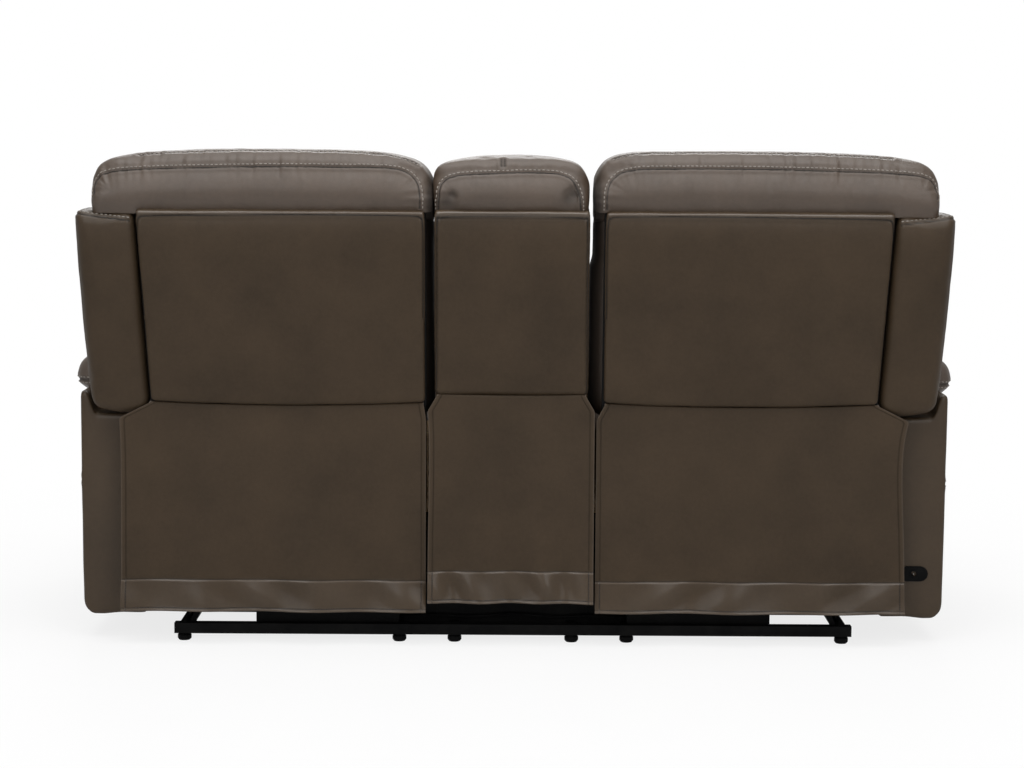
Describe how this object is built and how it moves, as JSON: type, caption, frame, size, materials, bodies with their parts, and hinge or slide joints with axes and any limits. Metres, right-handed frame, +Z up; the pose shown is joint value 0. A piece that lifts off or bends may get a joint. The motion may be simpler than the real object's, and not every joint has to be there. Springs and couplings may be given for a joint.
{
  "type": "power reclining console loveseat",
  "caption": "Upholstered loveseat with reclining seats, folding footrests and a storage console with a lid and cup holders, on a black steel base.",
  "frame": {"origin": "middle of the footprint at floor level", "axes": "+X the sitter's left, -Y the front, +Z up"},
  "size_m": [2.0332, 1.0458, 1.125],
  "materials": {
    "leather": "dark taupe-brown grained leather with pale contrast stitching",
    "black_steel": "satin black powder coat",
    "black_plastic": "moulded black plastic",
    "lead": "black cable jacket",
    "cup_steel": "brushed cup inserts",
    "plywood": "bare plywood"
  },
  "bodies": {
    "base": {"console_back": "leather", "console_base": "black_steel", "console_box": "leather", "console_flap": "leather", "console_front_left_foot": "black_plastic", "console_front_right_foot": "black_plastic", "console_rear_left_foot": "black_plastic", "console_rear_right_foot": "black_plastic", "console_top_cushion": "leather", "left_cup_holder": "cup_steel", "right_cup_holder": "cup_steel", "power_inlet": "black_plastic", "power_lead": "lead", "left_seat_base": "black_steel", "left_seat_deck": "plywood", "left_seat_cushion": "leather", "left_actuator": "black_steel", "left_arm": "leather", "left_arm_pad": "leather", "left_control_plate": "black_plastic", "left_front_inner_foot": "black_plastic", "left_front_outer_foot": "black_plastic", "left_rear_inner_foot": "black_plastic", "left_rear_outer_foot": "black_plastic", "right_seat_base": "black_steel", "right_seat_deck": "plywood", "right_seat_cushion": "leather", "right_actuator": "black_steel", "right_arm": "leather", "right_arm_pad": "leather", "right_control_plate": "black_plastic", "right_front_inner_foot": "black_plastic", "right_front_outer_foot": "black_plastic", "right_rear_inner_foot": "black_plastic", "right_rear_outer_foot": "black_plastic"},
    "left_back": {"left_back_frame": "plywood", "left_back_panel": "leather", "left_wing": "leather", "left_back_cushion": "leather", "left_headrest": "leather"},
    "left_flap": {"left_flap": "leather"},
    "left_link_1": {"left_footrest_link_1": "black_steel"},
    "left_link_2": {"left_footrest_link_2": "black_steel"},
    "left_link_3": {"left_footrest_link_3": "black_steel"},
    "left_footrest": {"left_footrest": "leather"},
    "left_drive": {"left_drive_block": "black_plastic"},
    "left_rocker": {"left_rocker_switch": "black_plastic"},
    "right_back": {"right_back_frame": "plywood", "right_back_panel": "leather", "right_wing": "leather", "right_back_cushion": "leather", "right_headrest": "leather"},
    "right_flap": {"right_flap": "leather"},
    "right_link_1": {"right_footrest_link_1": "black_steel"},
    "right_link_2": {"right_footrest_link_2": "black_steel"},
    "right_link_3": {"right_footrest_link_3": "black_steel"},
    "right_footrest": {"right_footrest": "leather"},
    "right_drive": {"right_drive_block": "black_plastic"},
    "right_rocker": {"right_rocker_switch": "black_plastic"},
    "lid": {"console_lid": "leather"}
  },
  "joints": [
    {"name": "left_recline", "type": "hinge", "parent": "base", "child": "left_back", "pos_m": [0.5068, 0.385, 0.49], "axis": [-1, 0, 0], "range_deg": [0, 32]},
    {"name": "left_flap_hang", "type": "hinge", "parent": "left_back", "child": "left_flap", "pos_m": [0.5068, 0.43679, 0.55311], "axis": [-1, 0, 0], "range_deg": [-32.5, 0.5]},
    {"name": "left_footrest_link_1", "type": "hinge", "parent": "base", "child": "left_link_1", "pos_m": [0.5068, -0.32, 0.272], "axis": [-1, 0, 0], "range_deg": [-0.5, 80.5]},
    {"name": "left_footrest_link_2", "type": "hinge", "parent": "left_link_1", "child": "left_link_2", "pos_m": [0.5068, -0.37047, 0.08364], "axis": [-1, 0, 0], "range_deg": [-130.5, 0.5]},
    {"name": "left_footrest_link_3", "type": "hinge", "parent": "left_link_2", "child": "left_link_3", "pos_m": [0.5068, -0.42094, 0.272], "axis": [-1, 0, 0], "range_deg": [-0.5, 130.5]},
    {"name": "left_footrest_tilt", "type": "hinge", "parent": "left_link_3", "child": "left_footrest", "pos_m": [0.5068, -0.47141, 0.08364], "axis": [-1, 0, 0], "range_deg": [-0.5, 10.5]},
    {"name": "left_drive", "type": "slide", "parent": "base", "child": "left_drive", "axis": [0, -1, 0], "range_m": [-0.001, 0.07813]},
    {"name": "left_rocker", "type": "hinge", "parent": "base", "child": "left_rocker", "pos_m": [0.18025, -0.1, 0.545], "axis": [0, 1, 0], "range_deg": [-5, 5], "stiffness_Nm_per_rad": 0.2},
    {"name": "right_recline", "type": "hinge", "parent": "base", "child": "right_back", "pos_m": [-0.5068, 0.385, 0.49], "axis": [-1, 0, 0], "range_deg": [0, 32]},
    {"name": "right_flap_hang", "type": "hinge", "parent": "right_back", "child": "right_flap", "pos_m": [-0.5068, 0.43679, 0.55311], "axis": [-1, 0, 0], "range_deg": [-32.5, 0.5]},
    {"name": "right_footrest_link_1", "type": "hinge", "parent": "base", "child": "right_link_1", "pos_m": [-0.5068, -0.32, 0.272], "axis": [-1, 0, 0], "range_deg": [-0.5, 80.5]},
    {"name": "right_footrest_link_2", "type": "hinge", "parent": "right_link_1", "child": "right_link_2", "pos_m": [-0.5068, -0.37047, 0.08364], "axis": [-1, 0, 0], "range_deg": [-130.5, 0.5]},
    {"name": "right_footrest_link_3", "type": "hinge", "parent": "right_link_2", "child": "right_link_3", "pos_m": [-0.5068, -0.42094, 0.272], "axis": [-1, 0, 0], "range_deg": [-0.5, 130.5]},
    {"name": "right_footrest_tilt", "type": "hinge", "parent": "right_link_3", "child": "right_footrest", "pos_m": [-0.5068, -0.47141, 0.08364], "axis": [-1, 0, 0], "range_deg": [-0.5, 10.5]},
    {"name": "right_drive", "type": "slide", "parent": "base", "child": "right_drive", "axis": [0, -1, 0], "range_m": [-0.001, 0.07813]},
    {"name": "right_rocker", "type": "hinge", "parent": "base", "child": "right_rocker", "pos_m": [-0.18025, -0.1, 0.545], "axis": [0, 1, 0], "range_deg": [-5, 5], "stiffness_Nm_per_rad": 0.2},
    {"name": "console_lid_hinge", "type": "hinge", "parent": "base", "child": "lid", "pos_m": [0, 0.245, 0.5753], "axis": [-1, 0, 0], "range_deg": [0, 85]}
  ],
  "couplings": [
    {"joint": "left_flap_hang", "follows": "left_recline", "ratio": -1},
    {"joint": "left_footrest_link_1", "follows": "left_recline", "ratio": 2.5},
    {"joint": "left_footrest_link_2", "follows": "left_recline", "ratio": -4.0625},
    {"joint": "left_footrest_link_3", "follows": "left_recline", "ratio": 4.0625},
    {"joint": "left_footrest_tilt", "follows": "left_recline", "ratio": 0.3125},
    {"joint": "left_drive", "follows": "left_recline", "m_per_rad": 0.13811},
    {"joint": "right_flap_hang", "follows": "right_recline", "ratio": -1},
    {"joint": "right_footrest_link_1", "follows": "right_recline", "ratio": 2.5},
    {"joint": "right_footrest_link_2", "follows": "right_recline", "ratio": -4.0625},
    {"joint": "right_footrest_link_3", "follows": "right_recline", "ratio": 4.0625},
    {"joint": "right_footrest_tilt", "follows": "right_recline", "ratio": 0.3125},
    {"joint": "right_drive", "follows": "right_recline", "m_per_rad": 0.13811}
  ]
}
